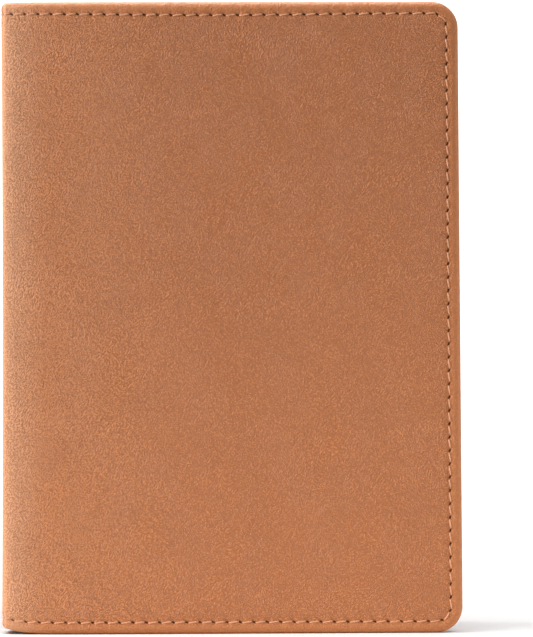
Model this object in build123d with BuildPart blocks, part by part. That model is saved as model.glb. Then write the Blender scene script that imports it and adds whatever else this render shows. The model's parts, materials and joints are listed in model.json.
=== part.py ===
from build123d import *

import os
from math import atan2, ceil, cos, degrees, pi, radians, sin

# A leather cover for a pocket notebook. It stands on its lower edge with the spine at the left:
# the front cover faces -Y, and the back cover stands a little open behind it.
# The origin is at the middle of the box that the cover fills, on the surface that it stands on.

# Driving dimensions, in millimetres and degrees
HEIGHT = 155.0
WIDTH = 112.5  # from the outside of the spine to the fore edge
CLOSED_DEPTH = 15.3  # over both covers when they are parallel
CORNER_RADIUS = 6.5  # of the fore corners
BEND_RADIUS = 4.6  # of the leather's outside where it turns from a cover to the spine
REST_OPENING = 10.0  # the angle that the back cover stands open at

# The layers, from the outside in
LEATHER = 1.1
BOARD = 0.6
LINING = 0.35
HEM = 0.7  # the skived leather that is turned in over the edges
SLEEVE = 0.9
BOARD_DEPTH = LEATHER
LINING_DEPTH = BOARD_DEPTH + BOARD
HEM_DEPTH = LINING_DEPTH + LINING
SLEEVE_DEPTH = HEM_DEPTH + HEM
INSIDE_DEPTH = SLEEVE_DEPTH + SLEEVE

EDGE_ROUNDING = 0.8  # of the leather where it turns over an edge
HEM_ROUNDING = 0.4
HEM_WIDTH = 8.0
SLEEVE_INSET = 1.0  # from the cover's edge to the sleeve's cut edge
SLEEVE_WIDTH = 66.0
SLEEVE_FREE_RADIUS = 3.0
BOARD_CLEARANCE = 0.3  # between the board's edge and the turned leather
BOARD_START = 12.0  # from the hinge axis, which leaves the leather beside the spine soft

# The seams: round threads, each laid at a slant, in a crease of the leather
SEAM_INSET = 2.9
STITCH_PITCH = 3.27
THREAD_LENGTH = 2.3
THREAD_WIDTH = 0.55
THREAD_HEIGHT = 0.4
THREAD_PROUD = 0.1
THREAD_SLANT = 12.0
CREASE_WIDTH = 1.3
CREASE_DEPTH = THREAD_HEIGHT - THREAD_PROUD
SLEEVE_SEAM_INSET = 3.0  # from the sleeve's free edge

# The bends. Leather keeps its length when a bend flattens, so each hinge axis lies inside the leather
# by the length that a right-angled corner has more than its arc.
NEUTRAL_RADIUS = BEND_RADIUS - LEATHER / 2
AXIS_DEPTH = LEATHER / 2 + (1 - pi / 4) * NEUTRAL_RADIUS
BEND_START = BEND_RADIUS - AXIS_DEPTH  # from a hinge axis to the point where the leather starts to bend
BEND_GAP = 0.4  # between the two halves of a bend
HALF_BEND = 45.0 - degrees(BEND_GAP / 2 / NEUTRAL_RADIUS)
FORE_EDGE = WIDTH - AXIS_DEPTH  # from a hinge axis to the fore edge

# Places: the covers' box is centred on the origin
opening = radians(REST_OPENING)
BACK_REACH = (FORE_EDGE - EDGE_ROUNDING) * sin(opening) + (AXIS_DEPTH - EDGE_ROUNDING) * cos(opening)
REST_DEPTH = THREAD_PROUD + CLOSED_DEPTH - AXIS_DEPTH + BACK_REACH + EDGE_ROUNDING
FRONT_FACE = THREAD_PROUD - REST_DEPTH / 2
SPINE_FACE = -WIDTH / 2
HINGE_X = SPINE_FACE + AXIS_DEPTH
FRONT_HINGE_Y = FRONT_FACE + AXIS_DEPTH
BACK_HINGE_Y = FRONT_FACE + CLOSED_DEPTH - AXIS_DEPTH

# Each cover has a plane through its hinge axis: X runs to the fore edge and Z points outwards
front_cover = Plane(origin=(HINGE_X, FRONT_HINGE_Y, 0), x_dir=(1, 0, 0), z_dir=(0, -1, 0))
back_cover = Plane(
    origin=(HINGE_X, BACK_HINGE_Y, HEIGHT),
    x_dir=(cos(opening), sin(opening), 0),
    z_dir=(-sin(opening), cos(opening), 0),
)


def at_depth(cover, depth):
    """The plane that lies this far below a cover's outer face."""
    return cover.offset(AXIS_DEPTH - depth)


def panel(start, end, inset, radius):
    """A cover's outline from start to end, less an inset at three sides, with two round fore corners."""
    with BuildSketch() as outline:
        with Locations(((start + end - inset) / 2, HEIGHT / 2)):
            Rectangle(end - inset - start, HEIGHT - 2 * inset)
        fillet(outline.vertices().group_by(Axis.X)[-1], radius)
    return outline.sketch


def seam_line(start):
    """The line of the seam round a cover's three outer edges."""
    low, high, fore = SEAM_INSET, HEIGHT - SEAM_INSET, FORE_EDGE - SEAM_INSET
    with BuildLine() as seam:
        FilletPolyline(
            (start, low), (fore, low), (fore, high), (start, high), radius=CORNER_RADIUS - SEAM_INSET
        )
    return seam.wires()[0]


def stitch_places(seam, height):
    """Evenly spaced places along a seam, each turned along it and slanted, at this height."""
    count = ceil(seam.length / STITCH_PITCH)
    places = []
    for number in range(count):
        along = (number + 0.5) / count
        point, direction = seam @ along, seam % along
        turn = degrees(atan2(direction.Y, direction.X)) + THREAD_SLANT
        places.append(Location((point.X, point.Y, height), (0, 0, turn)))
    return places


def cover_leather(cover):
    """The outer leather of one cover: a half bend and a flat panel, creased along the seam."""
    bend_centre = (BEND_START, AXIS_DEPTH - BEND_RADIUS)
    section = Plane(origin=cover.origin, x_dir=cover.x_dir, z_dir=-cover.y_dir)
    outwards = Axis(cover.origin, cover.z_dir)
    to_fore_edge = Axis(cover.origin, cover.x_dir)
    with BuildPart() as leather:
        with BuildSketch(section):
            with BuildLine():
                outer = CenterArc(bend_centre, BEND_RADIUS, 90, HALF_BEND)
                inner = CenterArc(bend_centre, BEND_RADIUS - LEATHER, 90, HALF_BEND)
                Line(outer @ 1, inner @ 1)
                Polyline(outer @ 0, (FORE_EDGE, AXIS_DEPTH), (FORE_EDGE, AXIS_DEPTH - LEATHER), inner @ 0)
            make_face()
        extrude(amount=-HEIGHT)
        corners = leather.edges().filter_by(outwards).group_by(to_fore_edge)[-1]
        fillet(corners, CORNER_RADIUS)
        outer_edges = leather.edges().group_by(outwards)[-1].sort_by(to_fore_edge)[1:]
        fillet(outer_edges, EDGE_ROUNDING)
        with BuildSketch(at_depth(cover, 0)):
            trace(seam_line(BEND_START), CREASE_WIDTH)
        extrude(amount=-CREASE_DEPTH, mode=Mode.SUBTRACT)
    return leather


def cover_edge(cover):
    """The leather wrapped round the edges of the board and the lining: a low wall at three sides."""
    with BuildPart() as edge:
        with BuildSketch(at_depth(cover, HEM_DEPTH)):
            add(panel(BEND_START, FORE_EDGE, 0, CORNER_RADIUS))
            add(panel(BEND_START, FORE_EDGE, LEATHER, CORNER_RADIUS - LEATHER), mode=Mode.SUBTRACT)
        extrude(amount=HEM_DEPTH - LEATHER)
    return edge


def cover_turn_in(cover):
    """The hem: the leather turned in over the lining at three edges."""
    outwards = Axis(cover.origin, cover.z_dir)
    to_fore_edge = Axis(cover.origin, cover.x_dir)
    with BuildPart() as turn_in:
        with BuildSketch(at_depth(cover, SLEEVE_DEPTH)):
            add(panel(BEND_START, FORE_EDGE, 0, CORNER_RADIUS))
        extrude(amount=HEM)
        rim = turn_in.edges().group_by(outwards)[0].sort_by(to_fore_edge)[1:]
        fillet(rim, HEM_ROUNDING)
        with BuildSketch(at_depth(cover, SLEEVE_DEPTH)):
            add(panel(BEND_START, FORE_EDGE, HEM_WIDTH, HEM_ROUNDING))
        extrude(amount=HEM, mode=Mode.SUBTRACT)
    return turn_in


def cover_stiffener(cover):
    """The board that keeps a cover flat."""
    inset = LEATHER + BOARD_CLEARANCE
    with BuildPart() as stiffener:
        with BuildSketch(at_depth(cover, LINING_DEPTH)):
            add(panel(BOARD_START, FORE_EDGE, inset, CORNER_RADIUS - inset))
        extrude(amount=BOARD)
    return stiffener


def cover_lining(cover):
    """The cloth on the board, whose edges lie under the hem."""
    inset = LEATHER + BOARD_CLEARANCE
    with BuildPart() as lining:
        with BuildSketch(at_depth(cover, HEM_DEPTH)):
            add(panel(BEND_START, FORE_EDGE, inset, CORNER_RADIUS - inset))
        extrude(amount=LINING)
    return lining


def cover_sleeve(cover):
    """The leather pocket that takes one board of the notebook. It is open towards the spine."""
    to_fore_edge = Axis(cover.origin, cover.x_dir)
    outwards = Axis(cover.origin, cover.z_dir)
    with BuildPart() as sleeve:
        with BuildSketch(at_depth(cover, INSIDE_DEPTH)):
            start = FORE_EDGE - SLEEVE_INSET - SLEEVE_WIDTH
            add(panel(start, FORE_EDGE, SLEEVE_INSET, CORNER_RADIUS - SLEEVE_INSET))
        extrude(amount=SLEEVE)
        free_corners = sleeve.edges().filter_by(outwards).group_by(to_fore_edge)[0]
        fillet(free_corners, SLEEVE_FREE_RADIUS)
    return sleeve


def cover_stitching(cover):
    """The seam's threads, as they show on the outside and on the sleeve inside."""
    outside_seam = seam_line(BEND_START)
    inside_seam = seam_line(FORE_EDGE - SLEEVE_INSET - SLEEVE_WIDTH + SLEEVE_FREE_RADIUS)
    outside = stitch_places(outside_seam, AXIS_DEPTH - CREASE_DEPTH + THREAD_HEIGHT / 2)
    inside = stitch_places(inside_seam, AXIS_DEPTH - INSIDE_DEPTH - THREAD_HEIGHT / 2)
    with BuildPart(cover) as stitching:
        with Locations(*outside, *inside):
            Box(THREAD_LENGTH, THREAD_WIDTH, THREAD_HEIGHT)
    return stitching


def cover_sleeve_stitching(cover):
    """The row of threads beside the sleeve's free edge."""
    across = FORE_EDGE - SLEEVE_INSET - SLEEVE_WIDTH + SLEEVE_SEAM_INSET
    end = SLEEVE_INSET + SEAM_INSET + STITCH_PITCH
    with BuildLine() as seam:
        Line((across, end), (across, HEIGHT - end))
    with BuildPart(cover) as stitching:
        with Locations(*stitch_places(seam.wires()[0], AXIS_DEPTH - INSIDE_DEPTH - THREAD_HEIGHT / 2)):
            Box(THREAD_LENGTH, THREAD_WIDTH, THREAD_HEIGHT)
    return stitching


def spine_band(depth, thickness):
    """The section of one layer of the spine: a flat with half a bend at each end."""
    centre_x = SPINE_FACE + BEND_RADIUS
    front_centre = (centre_x, FRONT_FACE + BEND_RADIUS)
    back_centre = (centre_x, FRONT_FACE + CLOSED_DEPTH - BEND_RADIUS)
    outer_radius = BEND_RADIUS - depth
    inner_radius = outer_radius - thickness
    with BuildSketch() as band:
        with BuildLine():
            front_outer = CenterArc(front_centre, outer_radius, 180, HALF_BEND)
            front_inner = CenterArc(front_centre, inner_radius, 180, HALF_BEND)
            back_outer = CenterArc(back_centre, outer_radius, 180, -HALF_BEND)
            back_inner = CenterArc(back_centre, inner_radius, 180, -HALF_BEND)
            Line(front_outer @ 0, back_outer @ 0)
            Line(front_inner @ 0, back_inner @ 0)
            Line(front_outer @ 1, front_inner @ 1)
            Line(back_outer @ 1, back_inner @ 1)
        make_face()
    return band.sketch


def spine_bend(centre_y, half_bend):
    """The leather's half bend at one side of the spine, which reaches towards that side's cover."""
    centre = (SPINE_FACE + BEND_RADIUS, centre_y)
    with BuildPart() as bend:
        with BuildSketch():
            with BuildLine():
                outer = CenterArc(centre, BEND_RADIUS, 180, half_bend)
                inner = CenterArc(centre, BEND_RADIUS - LEATHER, 180, half_bend)
                Line(outer @ 0, inner @ 0)
                Line(outer @ 1, inner @ 1)
            make_face()
        extrude(amount=HEIGHT)
    return bend


def write(part, name):
    """Labels a finished piece and writes it to its own file."""
    part.part.label = name
    export_step(part.part, f"parts/{name}.step")


# The spine's leather between its two bends, creased along the seam at its top and bottom
spine_flat = CLOSED_DEPTH - 2 * BEND_RADIUS
spine_middle_y = FRONT_FACE + CLOSED_DEPTH / 2
spine_outside = Plane(origin=(SPINE_FACE, spine_middle_y, 0), x_dir=(0, 1, 0), z_dir=(1, 0, 0))
with BuildPart() as spine_leather:
    with BuildSketch():
        with Locations((SPINE_FACE + LEATHER / 2, spine_middle_y)):
            Rectangle(LEATHER, spine_flat)
    extrude(amount=HEIGHT)
    with BuildSketch(spine_outside):
        with Locations((0, SEAM_INSET), (0, HEIGHT - SEAM_INSET)):
            Rectangle(spine_flat, CREASE_WIDTH)
    extrude(amount=CREASE_DEPTH, mode=Mode.SUBTRACT)

# The leather wrapped round the edges of the spine's board and lining, at its top and bottom
with BuildPart() as spine_edge:
    for bottom in (0, HEIGHT - LEATHER):
        with BuildSketch(Plane.XY.offset(bottom)):
            with Locations((SPINE_FACE + (LEATHER + HEM_DEPTH) / 2, spine_middle_y)):
                Rectangle(HEM_DEPTH - LEATHER, spine_flat)
        extrude(amount=LEATHER)

# The hem of the spine, turned in at its top and bottom over the lining
with BuildPart() as spine_turn_in:
    for bottom in (0, HEIGHT - HEM_WIDTH):
        with BuildSketch(Plane.XY.offset(bottom)):
            with Locations((SPINE_FACE + HEM_DEPTH + HEM / 2, spine_middle_y)):
                Rectangle(HEM, spine_flat)
        extrude(amount=HEM_WIDTH)

# The strip of board that keeps the spine flat between its bends
with BuildPart() as spine_stiffener:
    with BuildSketch(Plane.XY.offset(LEATHER + BOARD_CLEARANCE)):
        with Locations((SPINE_FACE + BOARD_DEPTH + BOARD / 2, spine_middle_y)):
            Rectangle(BOARD, spine_flat)
    extrude(amount=HEIGHT - 2 * (LEATHER + BOARD_CLEARANCE))

# The cloth inside the spine
with BuildPart() as spine_lining:
    with BuildSketch(Plane.XY.offset(LEATHER + BOARD_CLEARANCE)):
        add(spine_band(LINING_DEPTH, LINING))
    extrude(amount=HEIGHT - 2 * (LEATHER + BOARD_CLEARANCE))

# The seam's threads across the spine, at its top and bottom
spine_stitches_per_row = round(spine_flat / STITCH_PITCH)
with BuildPart(spine_outside) as spine_stitching:
    with Locations((0, SEAM_INSET), (0, HEIGHT - SEAM_INSET)):
        with GridLocations(STITCH_PITCH, 0, spine_stitches_per_row, 1):
            with Locations(Location((0, 0, CREASE_DEPTH - THREAD_HEIGHT / 2), (0, 0, THREAD_SLANT))):
                Box(THREAD_LENGTH, THREAD_WIDTH, THREAD_HEIGHT)

os.makedirs("parts", exist_ok=True)

write(spine_leather, "spine_leather")
write(spine_bend(spine_middle_y - spine_flat / 2, HALF_BEND), "spine_front_bend")
write(spine_bend(spine_middle_y + spine_flat / 2, -HALF_BEND), "spine_back_bend")
write(spine_edge, "spine_edge")
write(spine_turn_in, "spine_turn_in")
write(spine_stiffener, "spine_stiffener")
write(spine_lining, "spine_lining")
write(spine_stitching, "spine_stitching")
for side, cover in (("front", front_cover), ("back", back_cover)):
    write(cover_leather(cover), f"{side}_leather")
    write(cover_edge(cover), f"{side}_edge")
    write(cover_turn_in(cover), f"{side}_turn_in")
    write(cover_stiffener(cover), f"{side}_stiffener")
    write(cover_lining(cover), f"{side}_lining")
    write(cover_sleeve(cover), f"{side}_sleeve")
    write(cover_stitching(cover), f"{side}_stitching")
    write(cover_sleeve_stitching(cover), f"{side}_sleeve_stitching")
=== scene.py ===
import json
import math

import bmesh
import bpy
import numpy as np
from mathutils import Matrix, Vector


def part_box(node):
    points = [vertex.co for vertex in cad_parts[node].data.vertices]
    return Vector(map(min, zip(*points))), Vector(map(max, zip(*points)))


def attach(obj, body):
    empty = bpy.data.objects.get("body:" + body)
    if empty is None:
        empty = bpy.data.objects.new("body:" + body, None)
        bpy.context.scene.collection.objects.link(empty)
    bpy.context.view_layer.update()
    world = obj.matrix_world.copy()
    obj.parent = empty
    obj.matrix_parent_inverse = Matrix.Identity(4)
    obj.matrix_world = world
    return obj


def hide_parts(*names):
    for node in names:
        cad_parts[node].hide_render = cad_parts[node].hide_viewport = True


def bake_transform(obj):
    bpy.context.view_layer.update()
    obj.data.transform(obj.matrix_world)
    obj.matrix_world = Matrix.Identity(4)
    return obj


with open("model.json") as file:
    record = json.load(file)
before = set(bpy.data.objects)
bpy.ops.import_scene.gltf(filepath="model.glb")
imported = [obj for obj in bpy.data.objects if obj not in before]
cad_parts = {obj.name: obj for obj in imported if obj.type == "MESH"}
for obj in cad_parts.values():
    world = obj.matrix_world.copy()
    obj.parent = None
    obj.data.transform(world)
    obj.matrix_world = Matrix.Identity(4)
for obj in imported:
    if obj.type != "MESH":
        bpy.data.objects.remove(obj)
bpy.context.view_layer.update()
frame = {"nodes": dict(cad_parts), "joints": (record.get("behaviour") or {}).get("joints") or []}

# The leather cover's visible pieces. Lengths are in metres. A place on the cover has three flat
# coordinates: u runs along the leather from the middle of the spine to the fore edge, v runs up from
# the lower edge, and depth goes from the outside of the leather towards the notebook.

MM = 0.001

# Measures from the frame
joints = {joint["name"]: joint for joint in frame["joints"]}
HINGE_X, FRONT_HINGE_Y = joints["front_hinge"]["pos_m"][:2]
BACK_HINGE_Y = joints["back_hinge"]["pos_m"][1]
REST_OPENING = -math.radians(joints["back_hinge"]["range_deg"][0])
FRONT_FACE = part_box("front_leather")[0].y
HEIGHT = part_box("front_leather")[1].z
FORE_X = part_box("front_leather")[1].x
SPINE_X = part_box("spine_leather")[0].x
MIDDLE_Y = (FRONT_HINGE_Y + BACK_HINGE_Y) / 2
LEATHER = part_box("front_stiffener")[0].y - FRONT_FACE
LINING_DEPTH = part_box("front_lining")[0].y - FRONT_FACE
HEM_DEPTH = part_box("front_lining")[1].y - FRONT_FACE
SLEEVE_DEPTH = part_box("front_sleeve")[0].y - FRONT_FACE
INSIDE_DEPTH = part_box("front_sleeve")[1].y - FRONT_FACE
SLEEVE_START_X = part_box("front_sleeve")[0].x

# The shell's shape, as in the CAD
CORNER_RADIUS = 6.5 * MM
BEND_REACH = 4.6 * MM
BEND_RADIUS = 1.7 * MM
INNER_BEND_RADIUS = 0.1 * MM
HEM_WIDTH = 8.0 * MM
SLEEVE_INSET = 1.0 * MM
SLEEVE_FREE_RADIUS = 3.0 * MM
SEAM_INSET = 2.9 * MM
STITCH_PITCH = 3.27 * MM
SLEEVE_SEAM_INSET = 3.0 * MM

# What soft leather does: it bows down to the spine, hollows at mid height, droops at its ends, isn't
# quite square, lifts off the floor at the spine's foot, and lets the top seam sag
BOW_DEPTH = 1.4 * MM
BOW_LENGTH = 8.2 * MM
SPINE_HOLLOW = 0.3 * MM
HOLLOW_REACH = 6.0 * MM
DROOP = 0.5 * MM
DROOP_POWER = 5
TAPER = 0.009
TOP_FALL = 0.45 * MM
TAIL_RISE = 1.2 * MM
TAIL_REACH = 25.0 * MM
TAIL_WIDTH = 3.2 * MM
SEAM_SAG = 0.6 * MM
SEAM_SAG_AT = 58.0 * MM
SEAM_SAG_REACH = 35.0 * MM
SEAM_SAG_FROM_TOP = 12.0 * MM

# The slight waves of a leather panel: their height, shares, lengths along it and up it, and starts
WAVINESS = 0.03 * MM
WAVE_SHARES = (0.5, 0.4, 0.2)
WAVES_ALONG = (17 * MM, 31 * MM, 11 * MM)
WAVES_UP = (23 * MM, 41 * MM, 13 * MM)
WAVE_STARTS = (1.3, 2.1, 0.7)
FIRST_START_UP = 0.4

# The section of the closed cover: half the spine's flat, the bend, and the sagging panel
BOW_ANGLE = BOW_DEPTH / BOW_LENGTH
HALF_FLAT = MIDDLE_Y - FRONT_FACE - BOW_DEPTH - BEND_RADIUS * math.cos(BOW_ANGLE)
BEND_LENGTH = BEND_RADIUS * (math.pi / 2 - BOW_ANGLE)
PANEL_START = HALF_FLAT + BEND_LENGTH
PANEL_START_X = SPINE_X + BEND_RADIUS * (1 - math.sin(BOW_ANGLE))
WIDTH = PANEL_START + FORE_X - PANEL_START_X
BEND_FROM = np.array((SPINE_X, FRONT_FACE + BEND_REACH))
BEND_TO = np.array((SPINE_X + BEND_REACH, FRONT_FACE))

# Meshing
ROUNDING_ERROR = 1e-12
MERGE_DISTANCE = 1e-7
SHARP_ANGLE = math.radians(50)


def section(u):
    """The closed front's outside at u, as x and y, and its outward normal."""
    beyond = np.maximum(u - PANEL_START, 0)
    fading = np.exp(-beyond / BOW_LENGTH)
    turned = np.clip((u - HALF_FLAT) / BEND_RADIUS, 0, math.pi / 2 - BOW_ANGLE)
    x = SPINE_X + BEND_RADIUS * (1 - np.cos(turned)) + beyond
    on_shell = MIDDLE_Y - np.minimum(u, HALF_FLAT) - BEND_RADIUS * np.sin(turned)
    y = np.where(beyond > 0, FRONT_FACE + BOW_DEPTH * fading, on_shell)
    facing = np.where(beyond > 0, math.pi / 2 - BOW_ANGLE * fading, turned)
    return x, y, -np.cos(facing), -np.sin(facing)


def waviness(u, v):
    """The slight unevenness of a leather panel, as the sum of three waves."""
    along = [u / length for length in WAVES_ALONG]
    up = [v / length for length in WAVES_UP]
    first = np.sin(along[0] + WAVE_STARTS[0]) * np.cos(up[0] + FIRST_START_UP)
    second = np.sin(along[1] - up[1] + WAVE_STARTS[1])
    third = np.cos(along[2] + up[2] + WAVE_STARTS[2])
    return WAVINESS * (WAVE_SHARES[0] * first + WAVE_SHARES[1] * second + WAVE_SHARES[2] * third)


def seam_sag(u, v):
    """How far the top row of stitches has wandered down, halfway along it."""
    below_top = HEIGHT - v
    off_the_edge = np.clip(below_top / SEAM_INSET, 0, 1)
    near_the_top = np.clip(1 - below_top / SEAM_SAG_FROM_TOP, 0, 1)
    along = np.exp(-(((u - SEAM_SAG_AT) / SEAM_SAG_REACH) ** 2))
    return SEAM_SAG * off_the_edge * near_the_top * along


def place(u, v, depth, side):
    """The points of the cover at rest that have these flat coordinates."""
    u, v, depth = np.broadcast_arrays(*(np.asarray(x, float) for x in (u, v, depth)))
    x, y, normal_x, normal_y = section(u)
    past_bend = np.maximum(u - PANEL_START, 0)
    from_middle = np.abs(2 * v / HEIGHT - 1)
    hollow = SPINE_HOLLOW * (1 - from_middle**2) * np.exp(-((past_bend / HOLLOW_REACH) ** 2))
    droop = DROOP * from_middle**DROOP_POWER * np.exp(-past_bend / BOW_LENGTH) * (u > HALF_FLAT)
    # Inside the bend the layers would cross at its centre, so they are kept short of it
    outside_bend = np.maximum(past_bend, np.maximum(HALF_FLAT - u, 0))
    depth = np.minimum(depth, BEND_RADIUS - INNER_BEND_RADIUS + outside_bend)
    depth = depth + (hollow + droop) * np.clip(1 - depth / LEATHER, 0, 1) + waviness(u, v)
    x = x - depth * normal_x
    y = y - depth * normal_y
    span = BEND_TO - BEND_FROM
    share = np.clip(((x - BEND_FROM[0]) * span[0] + (y - BEND_FROM[1]) * span[1]) / (span @ span), 0, 1)
    x = x * (1 - TAPER * (v / HEIGHT - 0.5))
    z = v + TAIL_RISE * np.exp(-past_bend / TAIL_WIDTH) * np.clip(1 - v / TAIL_REACH, 0, 1) ** 2
    z = z - TOP_FALL * (v / HEIGHT) * np.clip(u / WIDTH, 0, 1) - seam_sag(u, v)
    if side == "back":
        turn = REST_OPENING * share * share * (3 - 2 * share)
        x, y = x - HINGE_X, 2 * MIDDLE_Y - y - BACK_HINGE_Y
        cosine, sine = np.cos(turn), np.sin(turn)
        x, y = HINGE_X + x * cosine - y * sine, BACK_HINGE_Y + x * sine + y * cosine
    return np.stack([x, y, z], axis=-1)


class Outline:
    """A rectangle with round corners, to walk along and to step inwards from.

    The walk starts at the low corner and runs anticlockwise. An open outline lacks its left side.
    """

    def __init__(self, low, high, radii, walk_inset, is_open):
        size = (high[0] - low[0], high[1] - low[1])
        self.low, self.high, self.is_open, self.radii = low, high, is_open, radii
        corners = [(low[0], low[1]), (high[0], low[1]), (high[0], high[1]), (low[0], high[1])]
        along = [(1, 0), (0, 1), (-1, 0), (0, -1)]
        self.sides = [
            {"from": np.array(corner), "along": np.array(along[k]), "length": size[k % 2]}
            for k, corner in enumerate(corners)
        ]
        self.starts = []
        total = 0.0
        for k in range(3 if is_open else 4):
            begin, end = self.reach(k, walk_inset)
            run = self.sides[k]["length"] - begin - end
            bend = 0.0 if is_open and k == 2 else (radii[(k + 1) % 4] - walk_inset) * math.pi / 2
            self.starts.append((total, run, bend))
            total += run + bend
        self.length = total

    def reach(self, k, inset):
        """How far a side's straight run stays from the rectangle's corners at this inset."""
        begin = 0.0 if self.is_open and k == 0 else max(self.radii[k], inset)
        end = 0.0 if self.is_open and k == 2 else max(self.radii[(k + 1) % 4], inset)
        return begin, end

    def at(self, s, inset):
        """The points at distance s along the walk, at this inset."""
        s, inset = np.broadcast_arrays(np.asarray(s, float), np.asarray(inset, float))
        found = np.zeros(s.shape + (2,))
        for k, (start, run, bend) in enumerate(self.starts):
            side, following = self.sides[k], self.sides[(k + 1) % 4]
            inward = np.array((-side["along"][1], side["along"][0]))
            radius = self.radii[(k + 1) % 4]
            first = self.is_open and k == 0
            last = self.is_open and k == 2
            begin = 0.0 * inset if first else np.maximum(self.radii[k], inset)
            end = 0.0 * inset if last else np.maximum(radius, inset)
            share = (s - start) / run
            if not first:
                share = np.maximum(share, 0)
            if not last:
                share = np.minimum(share, 1)
            distance = begin + share * (side["length"] - begin - end)
            on_run = side["from"] + distance[..., None] * side["along"] + inset[..., None] * inward
            here = (s >= start - ROUNDING_ERROR) | first
            found = np.where(here[..., None], on_run, found)
            if bend:
                angle = np.clip((s - start - run) / bend, 0, 1) * math.pi / 2
                next_inward = np.array((-following["along"][1], following["along"][0]))
                centre = following["from"] + end[..., None] * (following["along"] + next_inward)
                swing = -inward * np.cos(angle)[..., None] + side["along"] * np.sin(angle)[..., None]
                on_bend = centre + np.maximum(radius - inset, 0)[..., None] * swing
                found = np.where((s > start + run)[..., None], on_bend, found)
        return found[..., 0], found[..., 1]

    def locate(self, u, v):
        """The distance along the walk, and the inset, of points near the rim."""
        sides = []
        for k in range(len(self.starts)):
            side = self.sides[k]
            offset = np.stack([u, v], axis=-1) - side["from"]
            inward = np.array((-side["along"][1], side["along"][0]))
            sides.append((offset @ side["along"], offset @ inward))
        nearest = np.argmin([inset for _, inset in sides], axis=0)
        s = np.zeros(u.shape)
        inset = np.zeros(u.shape)
        for k, (start, _, _) in enumerate(self.starts):
            distance, away = sides[k]
            begin = 0.0 if self.is_open and k == 0 else self.radii[k]
            s = np.where(nearest == k, start + distance - begin, s)
            inset = np.where(nearest == k, away, inset)
        for k, (start, run, bend) in enumerate(self.starts):
            if not bend or k + 1 >= len(self.starts) and self.is_open:
                continue
            radius = self.radii[(k + 1) % 4]
            away_here = sides[k][1]
            away_next = sides[(k + 1) % len(sides)][1]
            in_corner = (away_here < radius) & (away_next < radius)
            angle = np.arctan2(radius - away_next, radius - away_here)
            s = np.where(in_corner, start + run + bend * angle / (math.pi / 2), s)
            inset = np.where(in_corner, radius - np.hypot(radius - away_next, radius - away_here), inset)
        return s, inset

    def along_side(self, k, distance, inset):
        """The walk's distance of points on side k, given from the rectangle's corner."""
        begin, end = self.reach(k, inset)
        start, run, _ = self.starts[k]
        return start + run * (distance - begin) / (self.sides[k]["length"] - begin - end)


class Panel:
    """Collects a sheet's points in flat coordinates, and its faces."""

    def __init__(self):
        self.rows = []
        self.count = 0
        self.faces = []

    def add(self, u, v, depth, unrolled_u, unrolled_v, inset, hole):
        """Adds a row of points and returns their numbers."""
        u = np.ravel(u)
        others = (v, depth, unrolled_u, unrolled_v, inset, hole)
        columns = [np.broadcast_to(np.ravel(values), u.shape) for values in others]
        self.rows.append(np.stack([u, *columns], axis=1))
        numbers = np.arange(self.count, self.count + len(u))
        self.count += len(u)
        return numbers

    def bridge(self, first, second, closed):
        """Quads between two rows of the same length."""
        after = np.roll(np.arange(len(first)), -1)
        steps = len(first) if closed else len(first) - 1
        for i in range(steps):
            self.faces.append((first[i], first[after[i]], second[after[i]], second[i]))

    def zip_rows(self, first, first_s, second, second_s):
        """Triangles between two rows of different lengths, in step with their places along the walk."""
        i = j = 0
        while i < len(first) - 1 or j < len(second) - 1:
            second_is_done = j == len(second) - 1
            if i < len(first) - 1 and (second_is_done or first_s[i + 1] <= second_s[j + 1]):
                self.faces.append((first[i], first[i + 1], second[j]))
                i += 1
            else:
                self.faces.append((first[i], second[j + 1], second[j]))
                j += 1

    def mesh_object(self, name, side):
        """The finished closed mesh, with its flat coordinates kept as attributes."""
        rows = np.concatenate(self.rows)
        points = place(rows[:, 0], rows[:, 1], rows[:, 2], side)
        mesh = bpy.data.meshes.new(name)
        mesh.from_pydata(points.tolist(), [], [tuple(int(i) for i in face) for face in self.faces])
        # The back's grain runs the other way from the spine's middle, so that it carries on over the spine
        flat = np.zeros((len(rows), 3))
        flat[:, 0] = rows[:, 3] if side == "front" else -rows[:, 3]
        flat[:, 1] = rows[:, 4]
        mesh.attributes.new("flat", "FLOAT_VECTOR", "POINT").data.foreach_set("vector", flat.ravel())
        mesh.attributes.new("inset", "FLOAT", "POINT").data.foreach_set("value", rows[:, 5])
        mesh.attributes.new("hole", "FLOAT", "POINT").data.foreach_set("value", rows[:, 6])
        return finished(name, mesh)


def finished(name, mesh):
    """A smooth shaded object of a mesh whose double points are merged and whose faces all look outwards."""
    bm = bmesh.new()
    bm.from_mesh(mesh)
    bmesh.ops.remove_doubles(bm, verts=bm.verts, dist=MERGE_DISTANCE)
    bmesh.ops.recalc_face_normals(bm, faces=bm.faces)
    for edge in bm.edges:
        edge.smooth = len(edge.link_faces) == 2 and edge.calc_face_angle(0) < SHARP_ANGLE
    for face in bm.faces:
        face.smooth = True
    bm.to_mesh(mesh)
    bm.free()
    thing = bpy.data.objects.new(name, mesh)
    bpy.context.scene.collection.objects.link(thing)
    return thing


def grid_lines(start, end, step):
    """Even places from start to end, about a step apart."""
    return np.linspace(start, end, max(2, round((end - start) / step) + 1))


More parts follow.
